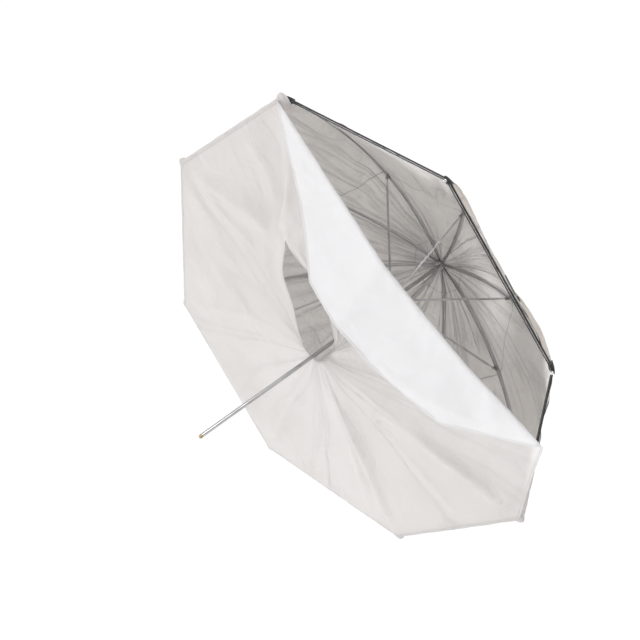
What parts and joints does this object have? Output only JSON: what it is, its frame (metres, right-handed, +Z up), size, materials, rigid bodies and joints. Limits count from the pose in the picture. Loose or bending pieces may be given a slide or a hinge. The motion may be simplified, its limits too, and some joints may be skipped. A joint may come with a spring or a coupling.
{
  "type": "umbrella reflector",
  "caption": "Folding umbrella reflector: silvered ribbed bowl on a straight shaft, with a white front cover partly folded back.",
  "frame": {"origin": "the point on the shaft's axis where a light bracket grips it", "axes": "-Y along the shaft towards its free end and the open side of the bowl, +Z up towards rib 1"},
  "size_m": [1.011, 0.7465, 1.011],
  "materials": {
    "shaft_steel": "polished",
    "spring_steel": "satin",
    "end_plug_brass": "worn satin",
    "hub_metal": "satin",
    "black_plastic": "satin",
    "runner_plastic": "satin",
    "rib_black": "semi-gloss",
    "stretcher_black": "semi-gloss",
    "bracket_metal": "satin",
    "tip_metal": "polished",
    "canopy_cloth": "silver-coated inside, off-white outside",
    "front_cloth": "translucent white, matt",
    "black_webbing": "matt woven",
    "snap_metal": "semi-gloss"
  },
  "bodies": {
    "shaft_unit": {"shaft": "shaft_steel", "open_catch": "spring_steel", "end_plug": "end_plug_brass", "notch": "hub_metal", "notch_wire": "spring_steel", "crown_cap": "black_plastic", "crown_washer": "black_plastic"},
    "slider": {"runner": "runner_plastic", "runner_wire": "spring_steel"},
    "rib_unit_1": {"rib_1": "rib_black", "rib_bracket_1": "bracket_metal", "rib_tip_1": "tip_metal", "canopy_1": "canopy_cloth"},
    "strut_1": {"stretcher_1": "stretcher_black"},
    "rib_unit_2": {"rib_2": "rib_black", "rib_bracket_2": "bracket_metal", "rib_tip_2": "tip_metal", "canopy_2": "canopy_cloth"},
    "strut_2": {"stretcher_2": "stretcher_black"},
    "rib_unit_3": {"rib_3": "rib_black", "rib_bracket_3": "bracket_metal", "rib_tip_3": "tip_metal", "canopy_3": "canopy_cloth"},
    "strut_3": {"stretcher_3": "stretcher_black"},
    "rib_unit_4": {"rib_4": "rib_black", "rib_bracket_4": "bracket_metal", "rib_tip_4": "tip_metal", "canopy_4": "canopy_cloth"},
    "strut_4": {"stretcher_4": "stretcher_black"},
    "rib_unit_5": {"rib_5": "rib_black", "rib_bracket_5": "bracket_metal", "rib_tip_5": "tip_metal", "canopy_5": "canopy_cloth"},
    "strut_5": {"stretcher_5": "stretcher_black"},
    "rib_unit_6": {"rib_6": "rib_black", "rib_bracket_6": "bracket_metal", "rib_tip_6": "tip_metal", "canopy_6": "canopy_cloth"},
    "strut_6": {"stretcher_6": "stretcher_black"},
    "rib_unit_7": {"rib_7": "rib_black", "rib_bracket_7": "bracket_metal", "rib_tip_7": "tip_metal", "canopy_7": "canopy_cloth", "tie_strap": "black_webbing", "strap_snap": "snap_metal"},
    "strut_7": {"stretcher_7": "stretcher_black"},
    "rib_unit_8": {"rib_8": "rib_black", "rib_bracket_8": "bracket_metal", "rib_tip_8": "tip_metal", "canopy_8": "canopy_cloth"},
    "strut_8": {"stretcher_8": "stretcher_black"},
    "cover_1": {"front_1": "front_cloth", "flap_upper": "front_cloth"},
    "cover_2": {"front_2": "front_cloth"},
    "cover_3": {"front_3": "front_cloth"},
    "cover_4": {"front_4": "front_cloth"},
    "cover_5": {"front_5": "front_cloth"},
    "cover_6": {"front_6": "front_cloth", "flap_lower": "front_cloth"}
  },
  "joints": [
    {"name": "runner_slide", "type": "slide", "parent": "shaft_unit", "child": "slider", "axis": [0, -1, 0], "range_m": [0, 0.32364], "deforming": ["open_catch"]},
    {"name": "rib_1_fold", "type": "hinge", "parent": "shaft_unit", "child": "rib_unit_1", "pos_m": [0, 0.415, 0.008], "axis": [1, 0, 0], "range_deg": [0, 56.87], "deforming": ["canopy_1"]},
    {"name": "stretcher_1_fold", "type": "hinge", "parent": "rib_unit_1", "child": "strut_1", "pos_m": [0, 0.31906, 0.24379], "axis": [1, 0, 0], "range_deg": [-119.49, 0]},
    {"name": "rib_2_fold", "type": "hinge", "parent": "shaft_unit", "child": "rib_unit_2", "pos_m": [-0.00566, 0.415, 0.00566], "axis": [0.7071, 0, 0.7071], "range_deg": [0, 56.87], "deforming": ["canopy_2"]},
    {"name": "stretcher_2_fold", "type": "hinge", "parent": "rib_unit_2", "child": "strut_2", "pos_m": [-0.17239, 0.31906, 0.17239], "axis": [0.7071, 0, 0.7071], "range_deg": [-119.49, 0]},
    {"name": "rib_3_fold", "type": "hinge", "parent": "shaft_unit", "child": "rib_unit_3", "pos_m": [-0.008, 0.415, 0], "axis": [0, 0, 1], "range_deg": [0, 56.87], "deforming": ["canopy_3"]},
    {"name": "stretcher_3_fold", "type": "hinge", "parent": "rib_unit_3", "child": "strut_3", "pos_m": [-0.24379, 0.31906, 0], "axis": [0, 0, 1], "range_deg": [-119.49, 0]},
    {"name": "rib_4_fold", "type": "hinge", "parent": "shaft_unit", "child": "rib_unit_4", "pos_m": [-0.00566, 0.415, -0.00566], "axis": [-0.7071, 0, 0.7071], "range_deg": [0, 56.87], "deforming": ["canopy_4"]},
    {"name": "stretcher_4_fold", "type": "hinge", "parent": "rib_unit_4", "child": "strut_4", "pos_m": [-0.17239, 0.31906, -0.17239], "axis": [-0.7071, 0, 0.7071], "range_deg": [-119.49, 0]},
    {"name": "rib_5_fold", "type": "hinge", "parent": "shaft_unit", "child": "rib_unit_5", "pos_m": [0, 0.415, -0.008], "axis": [-1, 0, 0], "range_deg": [0, 56.87], "deforming": ["canopy_5"]},
    {"name": "stretcher_5_fold", "type": "hinge", "parent": "rib_unit_5", "child": "strut_5", "pos_m": [0, 0.31906, -0.24379], "axis": [-1, 0, 0], "range_deg": [-119.49, 0]},
    {"name": "rib_6_fold", "type": "hinge", "parent": "shaft_unit", "child": "rib_unit_6", "pos_m": [0.00566, 0.415, -0.00566], "axis": [-0.7071, 0, -0.7071], "range_deg": [0, 56.87], "deforming": ["canopy_6"]},
    {"name": "stretcher_6_fold", "type": "hinge", "parent": "rib_unit_6", "child": "strut_6", "pos_m": [0.17239, 0.31906, -0.17239], "axis": [-0.7071, 0, -0.7071], "range_deg": [-119.49, 0]},
    {"name": "rib_7_fold", "type": "hinge", "parent": "shaft_unit", "child": "rib_unit_7", "pos_m": [0.008, 0.415, 0], "axis": [0, 0, -1], "range_deg": [0, 56.87], "deforming": ["canopy_7", "tie_strap", "strap_snap"]},
    {"name": "stretcher_7_fold", "type": "hinge", "parent": "rib_unit_7", "child": "strut_7", "pos_m": [0.24379, 0.31906, 0], "axis": [0, 0, -1], "range_deg": [-119.49, 0]},
    {"name": "rib_8_fold", "type": "hinge", "parent": "shaft_unit", "child": "rib_unit_8", "pos_m": [0.00566, 0.415, 0.00566], "axis": [0.7071, 0, -0.7071], "range_deg": [0, 56.87], "deforming": ["canopy_8"]},
    {"name": "stretcher_8_fold", "type": "hinge", "parent": "rib_unit_8", "child": "strut_8", "pos_m": [0.17239, 0.31906, 0.17239], "axis": [0.7071, 0, -0.7071], "range_deg": [-119.49, 0]},
    {"name": "cover_1_fold", "type": "hinge", "parent": "rib_unit_1", "child": "cover_1", "pos_m": [0, 0.093, 0.494], "axis": [1, 0, 0], "range_deg": [0, 45.34], "deforming": ["front_1", "flap_upper"]},
    {"name": "cover_2_fold", "type": "hinge", "parent": "rib_unit_2", "child": "cover_2", "pos_m": [-0.34931, 0.093, 0.34931], "axis": [0.7071, 0, 0.7071], "range_deg": [0, 45.34], "deforming": ["front_2"]},
    {"name": "cover_3_fold", "type": "hinge", "parent": "rib_unit_3", "child": "cover_3", "pos_m": [-0.494, 0.093, 0], "axis": [0, 0, 1], "range_deg": [0, 45.34], "deforming": ["front_3"]},
    {"name": "cover_4_fold", "type": "hinge", "parent": "rib_unit_4", "child": "cover_4", "pos_m": [-0.34931, 0.093, -0.34931], "axis": [-0.7071, 0, 0.7071], "range_deg": [0, 45.34], "deforming": ["front_4"]},
    {"name": "cover_5_fold", "type": "hinge", "parent": "rib_unit_5", "child": "cover_5", "pos_m": [0, 0.093, -0.494], "axis": [-1, 0, 0], "range_deg": [0, 45.34], "deforming": ["front_5"]},
    {"name": "cover_6_fold", "type": "hinge", "parent": "rib_unit_6", "child": "cover_6", "pos_m": [0.34931, 0.093, -0.34931], "axis": [-0.7071, 0, -0.7071], "range_deg": [0, 45.34], "deforming": ["front_6", "flap_lower"]}
  ],
  "couplings": [
    {"joint": "rib_1_fold", "follows": "runner_slide", "rad_per_m": 3.0666},
    {"joint": "stretcher_1_fold", "follows": "runner_slide", "rad_per_m": -6.4439},
    {"joint": "rib_2_fold", "follows": "runner_slide", "rad_per_m": 3.0666},
    {"joint": "stretcher_2_fold", "follows": "runner_slide", "rad_per_m": -6.4439},
    {"joint": "rib_3_fold", "follows": "runner_slide", "rad_per_m": 3.0666},
    {"joint": "stretcher_3_fold", "follows": "runner_slide", "rad_per_m": -6.4439},
    {"joint": "rib_4_fold", "follows": "runner_slide", "rad_per_m": 3.0666},
    {"joint": "stretcher_4_fold", "follows": "runner_slide", "rad_per_m": -6.4439},
    {"joint": "rib_5_fold", "follows": "runner_slide", "rad_per_m": 3.0666},
    {"joint": "stretcher_5_fold", "follows": "runner_slide", "rad_per_m": -6.4439},
    {"joint": "rib_6_fold", "follows": "runner_slide", "rad_per_m": 3.0666},
    {"joint": "stretcher_6_fold", "follows": "runner_slide", "rad_per_m": -6.4439},
    {"joint": "rib_7_fold", "follows": "runner_slide", "rad_per_m": 3.0666},
    {"joint": "stretcher_7_fold", "follows": "runner_slide", "rad_per_m": -6.4439},
    {"joint": "rib_8_fold", "follows": "runner_slide", "rad_per_m": 3.0666},
    {"joint": "stretcher_8_fold", "follows": "runner_slide", "rad_per_m": -6.4439},
    {"joint": "cover_1_fold", "follows": "runner_slide", "rad_per_m": 2.4448},
    {"joint": "cover_2_fold", "follows": "runner_slide", "rad_per_m": 2.4448},
    {"joint": "cover_3_fold", "follows": "runner_slide", "rad_per_m": 2.4448},
    {"joint": "cover_4_fold", "follows": "runner_slide", "rad_per_m": 2.4448},
    {"joint": "cover_5_fold", "follows": "runner_slide", "rad_per_m": 2.4448},
    {"joint": "cover_6_fold", "follows": "runner_slide", "rad_per_m": 2.4448}
  ]
}
